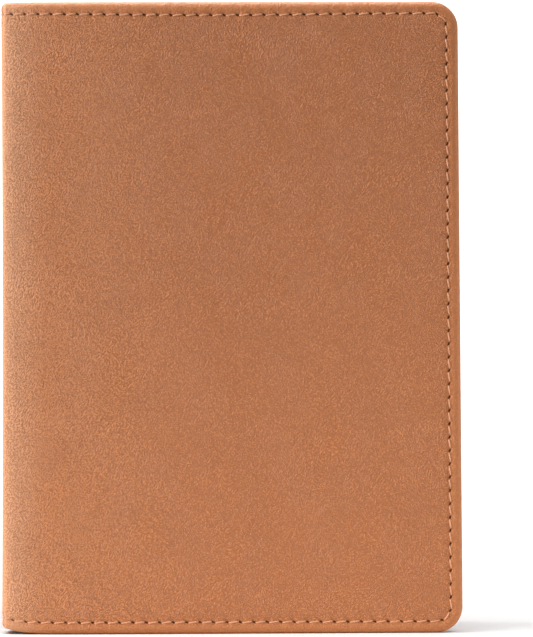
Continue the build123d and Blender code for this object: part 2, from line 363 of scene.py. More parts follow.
def field(panel, outline, inset, u_lines, v_lines, depth, relief):
    """Adds a grid inside an outline, and returns it with its edge as a row and its places along the walk."""
    u, v = np.meshgrid(u_lines, v_lines, indexing="ij")
    s, away = shell.locate(u, v)
    added, hole = relief(u, v, s, away)
    numbers = panel.add(u, v, depth + added.ravel(), u, v, away, hole).reshape(u.shape)
    for i in range(len(u_lines) - 1):
        panel.bridge(numbers[i], numbers[i + 1], False)
    low, high = outline.low, outline.high
    sides = [
        (numbers[:, 0], u_lines - low[0]),
        (numbers[-1, :], v_lines - low[1]),
        (numbers[::-1, -1], high[0] - u_lines[::-1]),
        (numbers[0, ::-1], high[1] - v_lines[::-1]),
    ]
    sides = sides[: len(outline.starts)]
    row = [side_numbers for side_numbers, _ in sides]
    places = [outline.along_side(k, distance, inset) for k, (_, distance) in enumerate(sides)]
    return numbers, np.concatenate(row), np.concatenate(places)


def no_relief(u, v, s, away):
    """The relief and the holes of leather without a seam."""
    return np.zeros(u.shape), np.zeros(u.shape)


# The seam: threads that lie at a slant between slanted holes, in a shallow crease
shell = Outline((0.0, 0.0), (WIDTH, HEIGHT), (0.0, CORNER_RADIUS, CORNER_RADIUS, 0.0), SEAM_INSET, True)
STITCHES = round(shell.length / STITCH_PITCH)
PITCH = shell.length / STITCHES
SLANT = 0.22 * MM
HOLE_HALF_LENGTH = 0.58 * MM
HOLE_HALF_WIDTH = 0.23 * MM
HOLE_DEPTH = 0.45 * MM
CREASE_DEPTH = 0.1 * MM
CREASE_REACH = 0.75 * MM
PUCKER_HEIGHT = 0.045 * MM
PUCKER_REACH = 1.5 * MM
THREAD_RADIUS = 0.19 * MM


def seam_relief(s, off_line, pitch):
    """How far a seam pulls the leather in, and how much of a point lies in a hole.

    The holes are a pitch apart, and the first is half a pitch from s = 0.
    """
    from_hole = (s / pitch - 0.5 - np.round(s / pitch - 0.5)) * pitch
    angle = math.atan2(-SLANT, HOLE_HALF_LENGTH)
    lengthways = from_hole * math.cos(angle) + off_line * math.sin(angle)
    sideways = -from_hole * math.sin(angle) + off_line * math.cos(angle)
    hole = np.exp(-((lengthways / HOLE_HALF_LENGTH) ** 2) - (sideways / HOLE_HALF_WIDTH) ** 2)
    crease = np.exp(-((off_line / CREASE_REACH) ** 2))
    pucker = np.cos(2 * math.pi * s / pitch) * np.exp(-((off_line / PUCKER_REACH) ** 2))
    return CREASE_DEPTH * crease + HOLE_DEPTH * hole - PUCKER_HEIGHT * pucker, hole


# Rings round the shell's rim: over the outer edge, down the wall, along the hem and back under it.
# The insets are in millimetres, and the turns in degrees
EDGE_ROUNDING = 1.7 * MM
HEM_ROUNDING = 0.9 * MM
FIELD_INSET = 6.5 * MM
OUTER_INSETS = (5.4, 4.6, 4.0, 3.65, 3.4, 3.2, 3.05, 2.9, 2.75, 2.6, 2.4, 2.2, 2.0, 1.85, 1.7)
EDGE_TURNS = (15, 30, 45, 60, 75, 90)
FOLD_TURNS = (30, 60, 90)
HEM_INSETS = (1.6, 2.3, 2.7, 2.9, 3.1, 3.5, 4.5, 6.0, 7.4)
CUT_STEP = 0.1 * MM  # the cut edge's rounding goes in steps of this
TOUCH_GAP = 0.02 * MM  # between surfaces that lie on each other


def shell_rings():
    """Each ring's inset, depth and unrolled inset, from the outside field to the inside one."""
    rings = [(inset * MM, 0.0, inset * MM) for inset in OUTER_INSETS]
    for angle in np.radians(EDGE_TURNS):
        inset = EDGE_ROUNDING * (1 - math.sin(angle))
        rings.append((inset, EDGE_ROUNDING * (1 - math.cos(angle)), EDGE_ROUNDING * (1 - angle)))
    wall_end = SLEEVE_DEPTH - HEM_ROUNDING
    unrolled = EDGE_ROUNDING * (1 - math.pi / 2) - (wall_end - EDGE_ROUNDING)
    rings.append((0.0, wall_end, unrolled))
    for angle in np.radians(FOLD_TURNS):
        depth = wall_end + HEM_ROUNDING * math.sin(angle)
        rings.append((HEM_ROUNDING * (1 - math.cos(angle)), depth, unrolled - HEM_ROUNDING * angle))
    unrolled -= HEM_ROUNDING * math.pi / 2
    for inset in HEM_INSETS:
        rings.append((inset * MM, SLEEVE_DEPTH, unrolled - inset * MM + HEM_ROUNDING))
    end = unrolled - HEM_WIDTH
    rings.append((HEM_WIDTH - 1.5 * CUT_STEP, SLEEVE_DEPTH - CUT_STEP, end))
    rings.append((HEM_WIDTH, SLEEVE_DEPTH - 3.5 * CUT_STEP, end - 3 * CUT_STEP))
    rings.append((HEM_WIDTH - CUT_STEP, HEM_DEPTH + TOUCH_GAP, end - 6 * CUT_STEP))
    rings.append((LEATHER + 2 * CUT_STEP, HEM_DEPTH + TOUCH_GAP, end - 7 * CUT_STEP))
    rings.append((LEATHER, HEM_DEPTH - 2 * CUT_STEP, end - 8 * CUT_STEP))
    rings.append((LEATHER + 2 * CUT_STEP, LEATHER, end - 9 * CUT_STEP))
    return rings


STEPS_PER_STITCH = 16
FINE_STEP = 0.45 * MM
COARSE_STEP = 1.3 * MM
FINE_UNTIL = PANEL_START + 6 * MM


def lines_along(end, step):
    """Places along the cover from the spine's middle: close together round the bend, then a step apart."""
    return np.concatenate([grid_lines(0, FINE_UNTIL, FINE_STEP)[:-1], grid_lines(FINE_UNTIL, end, step)])


def leather_shell(side):
    """Half of the leather shell: half the spine, a bend and a cover, with its edges turned in."""
    panel = Panel()
    s = np.linspace(0, shell.length, STITCHES * STEPS_PER_STITCH + 1)
    u_lines = lines_along(WIDTH - FIELD_INSET, COARSE_STEP)
    v_lines = grid_lines(FIELD_INSET, HEIGHT - FIELD_INSET, COARSE_STEP)
    outside, outside_edge, outside_s = field(panel, shell, FIELD_INSET, u_lines, v_lines, 0.0, no_relief)
    inside, inside_edge, inside_s = field(panel, shell, FIELD_INSET, u_lines, v_lines, LEATHER, no_relief)
    rows = []
    for inset, depth, unrolled in shell_rings():
        u, v = shell.at(s, inset)
        flat_u, flat_v = shell.at(s, unrolled)
        if depth < EDGE_ROUNDING / 2:
            added, hole = seam_relief(s, inset - SEAM_INSET, PITCH)
        elif depth == SLEEVE_DEPTH:
            pulled_in, hole = seam_relief(s, inset - SEAM_INSET, PITCH)
            added = -pulled_in
        else:
            added, hole = no_relief(u, v, s, inset)
        rows.append(panel.add(u, v, depth + added, flat_u, flat_v, inset, hole))
    panel.zip_rows(rows[0], s, outside_edge, outside_s)
    for first, second in zip(rows, rows[1:]):
        panel.bridge(first, second, False)
    panel.zip_rows(rows[-1], s, inside_edge, inside_s)
    # The cut across the spine's middle, where the two halves meet
    panel.faces.append([outside[0, 0], *(row[0] for row in rows), inside[0, 0]])
    panel.bridge(outside[0], inside[0], False)
    panel.faces.append([outside[0, -1], *(row[-1] for row in rows), inside[0, -1]])
    return panel.mesh_object(f"{side}_shell", side)


LINING_INSET = HEM_WIDTH - 1.5 * MM
LINING_STEP = 2 * COARSE_STEP


def lining(side):
    """The cloth glued to the board, from the spine's middle to under the hem."""
    panel = Panel()
    u_lines = lines_along(WIDTH - LINING_INSET, LINING_STEP)
    v_lines = grid_lines(LINING_INSET, HEIGHT - LINING_INSET, LINING_STEP)
    u, v = np.meshgrid(u_lines, v_lines, indexing="ij")
    sheets = []
    for depth in (HEM_DEPTH - TOUCH_GAP, LINING_DEPTH):
        numbers = panel.add(u, v, depth, u, v, HEM_WIDTH, 0.0).reshape(u.shape)
        for i in range(len(u_lines) - 1):
            panel.bridge(numbers[i], numbers[i + 1], False)
        sheets.append(numbers)
    top, under = sheets
    for end in (0, -1):
        panel.bridge(top[end], under[end], False)
        panel.bridge(top[:, end], under[:, end], False)
    return panel.mesh_object(f"{side}_lining_cloth", side)


# The sleeve, which the seam holds at three edges
SLEEVE_START = PANEL_START + SLEEVE_START_X - PANEL_START_X
SLEEVE_ROUNDING = 0.28 * MM
sleeve_outline = Outline(
    (SLEEVE_START, SLEEVE_INSET),
    (WIDTH - SLEEVE_INSET, HEIGHT - SLEEVE_INSET),
    (SLEEVE_FREE_RADIUS, CORNER_RADIUS - SLEEVE_INSET, CORNER_RADIUS - SLEEVE_INSET, SLEEVE_FREE_RADIUS),
    SEAM_INSET - SLEEVE_INSET,
    False,
)
SLEEVE_INSETS = (5.2, 4.3, 3.7, 3.35, 3.15, 3.0, 2.85, 2.65, 2.35, 2.1, 1.9, 1.7, 1.45, 1.1, 0.7, 0.28)
FREE_SEAM_END = SLEEVE_INSET + SEAM_INSET + STITCH_PITCH
FREE_SEAM_STITCHES = round((HEIGHT - 2 * FREE_SEAM_END) / STITCH_PITCH)
FREE_SEAM_PITCH = (HEIGHT - 2 * FREE_SEAM_END) / FREE_SEAM_STITCHES
SLEEVE_GAPE = 0.25 * MM
GAPE_REACH = 14 * MM
GAPE_POWER = 4
GAPE_AT_SEAM = 0.95
SEAM_REACH = 6 * MM
SLEEVE_STEP = 0.3 * MM


def sleeve_relief(u, v):
    """The outer seam's and the free edge's relief on a sleeve's visible side."""
    s, away = shell.locate(u, v)
    outer, outer_hole = seam_relief(s, away - SEAM_INSET, PITCH)
    near_outer = (u > SLEEVE_START + SLEEVE_FREE_RADIUS) & (away < SEAM_REACH)
    from_free_edge = u - SLEEVE_START
    free, free_hole = seam_relief(v - FREE_SEAM_END, from_free_edge - SLEEVE_SEAM_INSET, FREE_SEAM_PITCH)
    near_free = (v > FREE_SEAM_END) & (v < HEIGHT - FREE_SEAM_END) & (from_free_edge < SEAM_REACH)
    relief = np.where(near_outer, outer, 0) + np.where(near_free, free, 0)
    hole = np.where(near_outer, outer_hole, 0) + np.where(near_free, free_hole, 0)
    return relief, hole


def gape(u, v):
    """How far the sleeve stands off the cover towards its free edge, between its sewn ends."""
    from_free_edge = np.maximum(u - SLEEVE_START, 0)
    between_ends = np.clip(1 - (2 * v / HEIGHT - 1) ** GAPE_POWER, 0, 1)
    return SLEEVE_GAPE * np.exp(-((from_free_edge / GAPE_REACH) ** 2)) * between_ends


def sleeve(side):
    """A leather pocket with cut, rounded edges, seen from the notebook's side."""
    panel = Panel()
    s = grid_lines(0, sleeve_outline.length, SLEEVE_STEP)[:-1]
    low, high = sleeve_outline.low, sleeve_outline.high
    u_lines = grid_lines(low[0] + FIELD_INSET, high[0] - FIELD_INSET, COARSE_STEP)
    v_lines = grid_lines(low[1] + FIELD_INSET, high[1] - FIELD_INSET, COARSE_STEP)
    rings = [(inset * MM, INSIDE_DEPTH) for inset in SLEEVE_INSETS]
    for angle in np.radians(FOLD_TURNS):
        inset = SLEEVE_ROUNDING * (1 - math.sin(angle))
        rings.append((inset, INSIDE_DEPTH - SLEEVE_ROUNDING * (1 - math.cos(angle))))
    for angle in np.radians((0, *FOLD_TURNS)):
        depth = SLEEVE_DEPTH + SLEEVE_ROUNDING * (1 - math.sin(angle))
        rings.append((SLEEVE_ROUNDING * (1 - math.cos(angle)), depth + TOUCH_GAP))
    edges = []
    for depth in (INSIDE_DEPTH, SLEEVE_DEPTH + TOUCH_GAP):
        u, v = np.meshgrid(u_lines, v_lines, indexing="ij")
        numbers = panel.add(u, v, depth + gape(u, v).ravel(), u, v, FIELD_INSET, 0.0).reshape(u.shape)
        for i in range(len(u_lines) - 1):
            panel.bridge(numbers[i], numbers[i + 1], False)
        row = np.concatenate([numbers[:-1, 0], numbers[-1, :-1], numbers[:0:-1, -1], numbers[0, :0:-1]])
        going = (u_lines[:-1] - low[0], v_lines[:-1] - low[1])
        returning = (high[0] - u_lines[:0:-1], high[1] - v_lines[:0:-1])
        sides = (*going, *returning)
        places = [sleeve_outline.along_side(k, sides[k], FIELD_INSET) for k in range(4)]
        edges.append((row, np.concatenate(places)))
    rows = []
    for inset, depth in rings:
        u, v = sleeve_outline.at(s, inset)
        added, hole = sleeve_relief(u, v) if depth == INSIDE_DEPTH else no_relief(u, v, s, inset)
        rows.append(panel.add(u, v, depth - added + gape(u, v), u, v, inset, hole))
    for first, second in zip(rows, rows[1:]):
        panel.bridge(first, second, True)
    for row, (edge, edge_s) in ((rows[0], edges[0]), (rows[-1], edges[1])):
        around = np.append(row, row[0]), np.append(s, sleeve_outline.length)
        edge_around = np.append(edge, edge[0]), np.append(edge_s, edge_s[0] + sleeve_outline.length)
        panel.zip_rows(*around, *edge_around)
    return panel.mesh_object(f"{side}_sleeve_panel", side)


# Threads
THREAD_SIDES = 12
THREAD_RINGS = 15
THREAD_END_GAP = 0.45 * MM  # from a hole's middle to where a thread starts
THREAD_SLANT = 0.9 * SLANT
THREAD_DIVE = 0.5 * MM
ARCH_POWER = 5
THREAD_PLIES = 3
PLY_RELIEF = 0.09
PLY_TURNS = 1.6


def threads(name, side, line, numbers, pitch, surface, outwards):
    """Thread between each numbered hole and the next.

    line turns (s, off_line) into (u, v), and outwards is -1 on the cover's outside and 1 on its inside.
    """
    along = np.linspace(0, 1, THREAD_RINGS)
    start = (np.asarray(numbers)[:, None] + 0.5) * pitch + THREAD_END_GAP
    s = start + along * (pitch - 2 * THREAD_END_GAP)
    from_middle = 2 * along - 1
    off_line = np.broadcast_to(from_middle * THREAD_SLANT, s.shape)
    dive = THREAD_DIVE * np.abs(from_middle) ** ARCH_POWER
    depth = surface - outwards * (CREASE_DEPTH + dive)
    u, v = line(s, off_line)
    centre = place(u, v, depth, side)
    above = outwards * (place(u, v, LEATHER / 2, side) - place(u, v, 0.0, side))
    above /= np.linalg.norm(above, axis=-1, keepdims=True)
    direction = np.gradient(centre, axis=1)
    direction /= np.linalg.norm(direction, axis=-1, keepdims=True)
    across = np.cross(direction, above)
    across /= np.linalg.norm(across, axis=-1, keepdims=True)
    above = np.cross(across, direction)
    turn = np.linspace(0, 2 * math.pi, THREAD_SIDES, endpoint=False)
    ply = 1 + PLY_RELIEF * np.cos(THREAD_PLIES * (turn[None, :] - 2 * math.pi * PLY_TURNS * along[:, None]))
    radius = THREAD_RADIUS * ply
    ring = (
        centre[:, :, None, :]
        + (radius * np.cos(turn))[None, :, :, None] * across[:, :, None, :]
        + (radius * np.sin(turn))[None, :, :, None] * above[:, :, None, :]
    )
    count = len(s)
    points = ring.reshape(-1, 3)
    faces = []
    for stitch in range(count):
        base = stitch * THREAD_RINGS * THREAD_SIDES
        for i in range(THREAD_RINGS - 1):
            for j in range(THREAD_SIDES):
                a = base + i * THREAD_SIDES + j
                b = base + i * THREAD_SIDES + (j + 1) % THREAD_SIDES
                faces.append((a, b, b + THREAD_SIDES, a + THREAD_SIDES))
        faces.append([base + j for j in range(THREAD_SIDES)])
        faces.append([base + (THREAD_RINGS - 1) * THREAD_SIDES + j for j in range(THREAD_SIDES)])
    mesh = bpy.data.meshes.new(name)
    mesh.from_pydata(points.tolist(), [], faces)
    flat = np.zeros((count, THREAD_RINGS, THREAD_SIDES, 3))
    flat[..., 0] = s[:, :, None]
    flat[..., 1] = turn * THREAD_RADIUS
    mesh.attributes.new("flat", "FLOAT_VECTOR", "POINT").data.foreach_set("vector", flat.ravel())
    return finished(name, mesh)


def seam_line(s, off_line):
    """The flat coordinates along the shell's seam."""
    return shell.at(s, SEAM_INSET + off_line)


def free_seam_line(s, off_line):
    """The flat coordinates along the seam of a sleeve's free edge."""
    return SLEEVE_START + SLEEVE_SEAM_INSET + off_line, FREE_SEAM_END + s


def joined(name, things):
    """One object of several."""
    with bpy.context.temp_override(
        active_object=things[0], object=things[0], selected_editable_objects=things, selected_objects=things
    ):
        bpy.ops.object.join()
    things[0].name = name
    return things[0]


def seam_threads(side):
    """The shell's seam: its outside row, and its inside row on the hem and on the sleeve.

    The two threads that cross the spine's middle belong to the front.
    """
    numbers = range(-1, STITCHES) if side == "front" else range(STITCHES - 1)
    outside = threads(f"{side}_seam", side, seam_line, numbers, PITCH, 0.0, -1)
    middles = np.arange(1, STITCHES) * PITCH
    past_sleeve_edge = shell.at(middles, SEAM_INSET)[0] - SLEEVE_START
    hem_numbers = np.flatnonzero(past_sleeve_edge <= -PITCH / 2)
    sleeve_numbers = np.flatnonzero(past_sleeve_edge >= PITCH / 2)
    on_hem = threads("on_hem", side, seam_line, hem_numbers, PITCH, SLEEVE_DEPTH, 1)
    on_sleeve = threads("on_sleeve", side, seam_line, sleeve_numbers, PITCH, INSIDE_DEPTH, 1)
    return joined(f"{side}_seam_threads", [outside, on_hem, on_sleeve])


def free_edge_threads(side):
    """The row of stitches along a sleeve's free edge."""
    numbers = range(FREE_SEAM_STITCHES - 1)
    surface = INSIDE_DEPTH + SLEEVE_GAPE * GAPE_AT_SEAM
    return threads(f"{side}_sleeve_threads", side, free_seam_line, numbers, FREE_SEAM_PITCH, surface, 1)


# Materials. Patterns are scaled in repeats to the millimetre of flat leather, and heights are in metres

METRES_TO_MM = 1000.0
GRAIN_TURN = -48
PEBBLES = (2.3, 2.8, 1.0)
RIDGES = (1.9, 4.2, 1.0)
LONG_CREASE_TURN = -44
LONG_CREASES = (0.1, 0.55, 1.0)
SWAY_SCALE = 0.06
SWAY = (5.0, 5.0, 0.0)
PORE_SCALE = 4.5
PORE_SHARE = 0.3
LONG_CREASE_SHARE = 0.3
PATCH_SCALE = 0.05
MOTTLE_SCALE = 0.11
CLOUD_SCALE = 0.02
# Edge wear and painted highlight: paler, patchy rims along the rounded edges
WEAR_AND_HIGHLIGHT_SCALE = 0.5
WEAR_AND_HIGHLIGHT_SHARE = 0.35
GLOSS_SCALE = 1.6
# Painted shade: the grain's valleys are darkened in the colour
PAINTED_VALLEY_SHADE = (0.5, 0.42, 0.4, 1.0)
PAINTED_VALLEY_SHARE = 0.8
# Painted sheen: the paler, greyer tone along the fold
PAINTED_FOLD_SHEEN = (1.1, 1.42, 2.15)
FOLD_SHEEN_REACH = 12.0
# Edge wear and painted highlight: the paler colour of the rims
WEAR_AND_HIGHLIGHT_SHADE = (1.1, 1.35, 2.0)
# Painted shade: the stitch holes are coloured near black
HOLE_PAINTED_SHADE = (0.03, 0.006, 0.003, 1.0)
HOLE_SHADE_SHARE = 0.85
FILAMENT_TURN = 35
FILAMENTS = (2.0, 18.0, 1.0)
WEAVE_PITCH = 0.42
SLUBS = (0.15, 3.0, 1.0)
FIBRE_SCALE = 1400.0  # to the metre


def tinted(base, shares):
    """A colour whose red, green and blue are scaled, all by one share or each by its own."""
    scaled = np.minimum(np.array(base) * shares, 1.0)
    return (*(float(part) for part in scaled), 1.0)


class Nodes:
    """Builds a material's nodes. An input is given as a plain value or as another node's output."""

    def __init__(self, name):
        self.material = bpy.data.materials.new(name)
        self.material.use_nodes = True
        self.tree = self.material.node_tree
        self.shader = self.tree.nodes["Principled BSDF"]

    def add(self, kind, inputs=None, **settings):
        node = self.tree.nodes.new(kind)
        for key, value in settings.items():
            setattr(node, key, value)
        for key, value in (inputs or {}).items():
            self.put(node.inputs[key], value)
        return node

    def put(self, socket, value):
        if isinstance(value, bpy.types.NodeSocket):
            self.tree.links.new(value, socket)
        else:
            socket.default_value = value

    def math(self, operation, a, b=0.0, clamp=False):
        node = self.add("ShaderNodeMath", {0: a, 1: b}, operation=operation)
        node.use_clamp = clamp
        return node.outputs[0]

    def invert(self, value):
        return self.math("SUBTRACT", 1.0, value, clamp=True)

    def between(self, value, low, high, to_low=0.0, to_high=1.0):
        """value, spread from low..high to to_low..to_high, smoothly and clamped."""
        inputs = {"Value": value, "From Min": low, "From Max": high, "To Min": to_low, "To Max": to_high}
        return self.add("ShaderNodeMapRange", inputs, interpolation_type="SMOOTHSTEP").outputs["Result"]

    def mix(self, share, a, b, blend="MIX"):
        node = self.add("ShaderNodeMix", data_type="RGBA", blend_type=blend)
        for socket, value in ((node.inputs[0], share), (node.inputs[6], a), (node.inputs[7], b)):
            self.put(socket, value)
        return node.outputs[2]

    def noise(self, vector, scale, detail=2.0, roughness=0.5):
        inputs = {"Vector": vector, "Scale": scale, "Detail": detail, "Roughness": roughness}
        return self.add("ShaderNodeTexNoise", inputs).outputs["Fac"]

    def attribute(self, name, output):
        return self.add("ShaderNodeAttribute", attribute_name=name).outputs[output]

    def flat_millimetres(self):
        flat = self.attribute("flat", "Vector")
        inputs = {0: flat, "Scale": METRES_TO_MM}
        return self.add("ShaderNodeVectorMath", inputs, operation="SCALE").outputs[0]

    def stretched(self, vector, turn, scale):
        """Coordinates turned by some degrees, then scaled along each axis."""
        turned = self.add("ShaderNodeMapping", {"Vector": vector, "Rotation": (0, 0, math.radians(turn))})
        return self.add("ShaderNodeMapping", {"Vector": turned.outputs[0], "Scale": scale}).outputs[0]

    def bump(self, height, distance, strength=1.0, normal=None):
        inputs = {"Height": height, "Distance": distance, "Strength": strength}
        if normal is not None:
            inputs["Normal"] = normal
        return self.add("ShaderNodeBump", inputs).outputs[0]

    def finish(self, **inputs):
        for key, value in inputs.items():
            self.put(self.shader.inputs[key.replace("_", " ")], value)
        return self.material


def leather_material(name, base, grain_height):
    """Smooth calf leather: pebbles and slanting creases, with painted sheen along the fold, painted shade in
    the grain's valleys and in the stitch holes, and edge wear with a painted highlight.
    """
    n = Nodes(name)
    flat = n.flat_millimetres()
    inset = n.attribute("inset", "Fac")
    along_cover = n.math("ABSOLUTE", n.add("ShaderNodeSeparateXYZ", {0: flat}).outputs[0])
    from_fold = n.math("ABSOLUTE", n.math("SUBTRACT", along_cover, (HALF_FLAT + PANEL_START) / 2 / MM))

    # The grain lies along coordinates that sway a little
    sway = n.add("ShaderNodeTexNoise", {"Vector": flat, "Scale": SWAY_SCALE, "Detail": 1.0}).outputs["Color"]
    centred = n.add("ShaderNodeVectorMath", {0: sway, 1: (0.5, 0.5, 0.5)}, operation="SUBTRACT").outputs[0]
    inputs = {0: centred, 1: SWAY, 2: flat}
    swayed = n.add("ShaderNodeVectorMath", inputs, operation="MULTIPLY_ADD").outputs[0]
    cells = n.add("ShaderNodeTexVoronoi", {"Vector": n.stretched(swayed, GRAIN_TURN, PEBBLES), "Scale": 1.0})
    pebbles = n.invert(cells.outputs["Distance"])
    ridges = n.between(n.noise(n.stretched(swayed, GRAIN_TURN, RIDGES), 1.0, 1.0), 0.32, 0.68)
    near_spine = n.between(along_cover, 10.0, 60.0, to_low=1.0, to_high=0.5)
    grain = n.math("ADD", pebbles, n.math("MULTIPLY", ridges, near_spine))

    # Its height: lower in patches, at the pressed edges and where the fold stretches it
    patches = n.between(n.noise(flat, PATCH_SCALE, 3.0), 0.36, 0.62, to_low=0.85)
    pressed = n.between(inset, 1.2 * MM, 4.5 * MM, to_low=0.5)
    unstretched = n.between(from_fold, 1.0, 3.5, to_low=0.2)
    strength = n.math("MULTIPLY", n.math("MULTIPLY", patches, pressed), unstretched)
    pores = n.noise(flat, PORE_SCALE, 3.0, 0.6)
    long_creases = n.stretched(swayed, LONG_CREASE_TURN, LONG_CREASES)
    wrinkles = n.between(n.noise(long_creases, 1.0, 3.0, 0.55), 0.35, 0.65)
    height = n.math("MULTIPLY", grain, strength)
    height = n.math("ADD", height, n.math("MULTIPLY", pores, PORE_SHARE))
    height = n.math("ADD", height, n.math("MULTIPLY", wrinkles, LONG_CREASE_SHARE))

    # Its colour: faintly mottled, with painted sheen along the fold, painted shade in the grain's valleys,
    # edge wear with a painted highlight, and painted shade in the stitch holes
    mottle = n.between(n.noise(flat, MOTTLE_SCALE, 4.0, 0.6), 0.3, 0.7)
    clouds = n.between(n.noise(flat, CLOUD_SCALE, 2.0), 0.35, 0.65)
    unevenness = n.math("ADD", n.math("MULTIPLY", mottle, 0.5), n.math("MULTIPLY", clouds, 0.5))
    colour = n.mix(unevenness, tinted(base, 0.985), tinted(base, 1.015))
    # Painted sheen along the fold: paler towards the fold, standing in for the sheen of the light from the
    # left
    stretched = n.between(from_fold, 0.0, FOLD_SHEEN_REACH, to_low=1.0, to_high=0.0)
    colour = n.mix(stretched, colour, tinted(base, PAINTED_FOLD_SHEEN))
    # Painted shade in the grain's valleys: darker where the grain is low, less so at the pressed edges
    valleys = n.between(grain, 0.7, 1.25, to_low=1.0, to_high=0.0)
    evened = n.math("ADD", n.math("MULTIPLY", n.math("SUBTRACT", valleys, 0.5), pressed), 0.5)
    colour = n.mix(n.math("MULTIPLY", evened, PAINTED_VALLEY_SHARE), colour, PAINTED_VALLEY_SHADE, "MULTIPLY")
    # Edge wear and painted highlight: the rounded rims are made paler in patches
    at_edge = n.between(inset, 0.0, 1.1 * MM, to_low=1.0, to_high=0.0)
    wear_and_highlight = n.math("MULTIPLY", at_edge, n.between(n.noise(flat, WEAR_AND_HIGHLIGHT_SCALE, 3.0), 0.3, 0.7))
    colour = n.mix(n.math("MULTIPLY", wear_and_highlight, WEAR_AND_HIGHLIGHT_SHARE), colour, tinted(base, WEAR_AND_HIGHLIGHT_SHADE))
    # Painted shade in the stitch holes: near black where the holes are
    hole = n.between(n.attribute("hole", "Fac"), 0.12, 0.75)
    colour = n.mix(n.math("MULTIPLY", hole, HOLE_SHADE_SHARE), colour, HOLE_PAINTED_SHADE)

    roughness = n.between(n.noise(flat, GLOSS_SCALE, 3.0), 0.3, 0.7, to_low=0.44, to_high=0.56)
    roughness = n.math("ADD", roughness, n.math("MULTIPLY", hole, 0.3))
    n.shader.inputs["Specular IOR Level"].default_value = 0.32
    return n.finish(Base_Color=colour, Roughness=roughness, Normal=n.bump(height, grain_height))


def thread_material(name, base):
    """Waxed polyester thread: its plies are in the mesh, and its filaments in the bump."""
    n = Nodes(name)
    flat = n.flat_millimetres()
    filaments = n.noise(n.stretched(flat, FILAMENT_TURN, FILAMENTS), 1.0, 2.0)
    dark = tinted(base, 0.72)
    colour = n.mix(n.between(filaments, 0.3, 0.7), dark, tinted(base, 1.15))
    uneven = n.between(n.noise(flat, 0.25, 2.0), 0.35, 0.65, to_high=0.25)
    colour = n.mix(uneven, colour, dark)
    roughness = n.between(filaments, 0.2, 0.8, to_low=0.42, to_high=0.6)
    return n.finish(Base_Color=colour, Roughness=roughness, Normal=n.bump(filaments, 0.04 * MM, 0.6))


def cloth_material(name, base):
    """A plain woven lining, with thicker threads here and there."""
    n = Nodes(name)
    flat = n.flat_millimetres()
    parts = n.add("ShaderNodeSeparateXYZ", {0: flat})
    turns = 2 * math.pi / WEAVE_PITCH
    warp = n.math("SINE", n.math("MULTIPLY", parts.outputs[0], turns))
    weft = n.math("SINE", n.math("MULTIPLY", parts.outputs[1], turns))
    weave = n.between(n.math("MULTIPLY", warp, weft), -1.0, 1.0)
    slubs = n.noise(n.stretched(flat, 0, SLUBS), 1.0, 3.0)
    height = n.math("ADD", weave, n.math("MULTIPLY", slubs, 0.5))
    light = tinted(base, 1.2)
    colour = n.mix(weave, tinted(base, 0.7), light)
    colour = n.mix(n.between(slubs, 0.35, 0.65, to_high=0.35), colour, light)
    roughness = n.between(slubs, 0.3, 0.7, to_low=0.78, to_high=0.9)
    n.shader.inputs["Sheen Weight"].default_value = 0.2
    return n.finish(Base_Color=colour, Roughness=roughness, Normal=n.bump(height, 0.06 * MM, 0.7))


def board_material(name, base):
    """Bonded leather board: grey-brown, flecked with fibres."""
    n = Nodes(name)
    fibres = n.noise(n.add("ShaderNodeTexCoord").outputs["Object"], FIBRE_SCALE, 4.0, 0.7)
    colour = n.mix(n.between(fibres, 0.35, 0.65), tinted(base, 0.75), tinted(base, 1.25))
    roughness = n.between(fibres, 0.3, 0.7, to_low=0.8, to_high=0.95)
    return n.finish(Base_Color=colour, Roughness=roughness, Normal=n.bump(fibres, 0.05 * MM, 0.5))


tan_leather = leather_material("tan_leather", (0.525, 0.188, 0.058), 0.21 * MM)
sleeve_leather = leather_material("sleeve_leather", (0.5, 0.178, 0.055), 0.18 * MM)
thread = thread_material("thread", (0.56, 0.25, 0.125))
lining_cloth = cloth_material("lining_cloth", (0.2, 0.105, 0.055))
board = board_material("board", (0.3, 0.22, 0.15))


def dress(piece, material, side, slot, *nodes):
    """Gives a piece its material, fixes it in place, and hides the CAD nodes that it stands in for."""
    piece.data.materials.clear()
    piece.data.materials.append(material)
    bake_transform(piece)
    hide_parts(*nodes)
    return piece


for side in ("front", "back"):
    spine_nodes = ("spine_leather", "spine_edge", "spine_turn_in") if side == "front" else ()
    skin_nodes = (f"{side}_leather", f"{side}_edge", f"{side}_turn_in", f"spine_{side}_bend")
    dress(leather_shell(side), tan_leather, side, "tan_leather", *skin_nodes, *spine_nodes)
    spine_nodes = ("spine_lining",) if side == "front" else ()
    cloth = dress(lining(side), lining_cloth, side, "lining_cloth", f"{side}_lining", *spine_nodes)
    spine_nodes = ("spine_stitching",) if side == "front" else ()
    dress(seam_threads(side), thread, side, "thread", f"{side}_stitching", *spine_nodes)
    for piece, material, slot, node in (
        (sleeve(side), sleeve_leather, "sleeve_leather", f"{side}_sleeve"),
        (free_edge_threads(side), thread, "thread", f"{side}_sleeve_stitching"),
    ):
        piece.data.materials.append(material)
        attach(piece, f"{side}_cover")
        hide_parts(node)

for node in ("front_stiffener", "back_stiffener", "spine_stiffener"):
    thing = frame["nodes"][node]
    thing.data.materials.clear()
    thing.data.materials.append(board)


# The stage: a white floor that curves up into a white backdrop, soft light, and the camera
SWEEP_SIDE = 3.0
SWEEP_FRONT = -3.0
SWEEP_BACK = 1.6
SWEEP_TOP = 3.0
COVE_RADIUS = 0.8
COVE_POINTS = 17


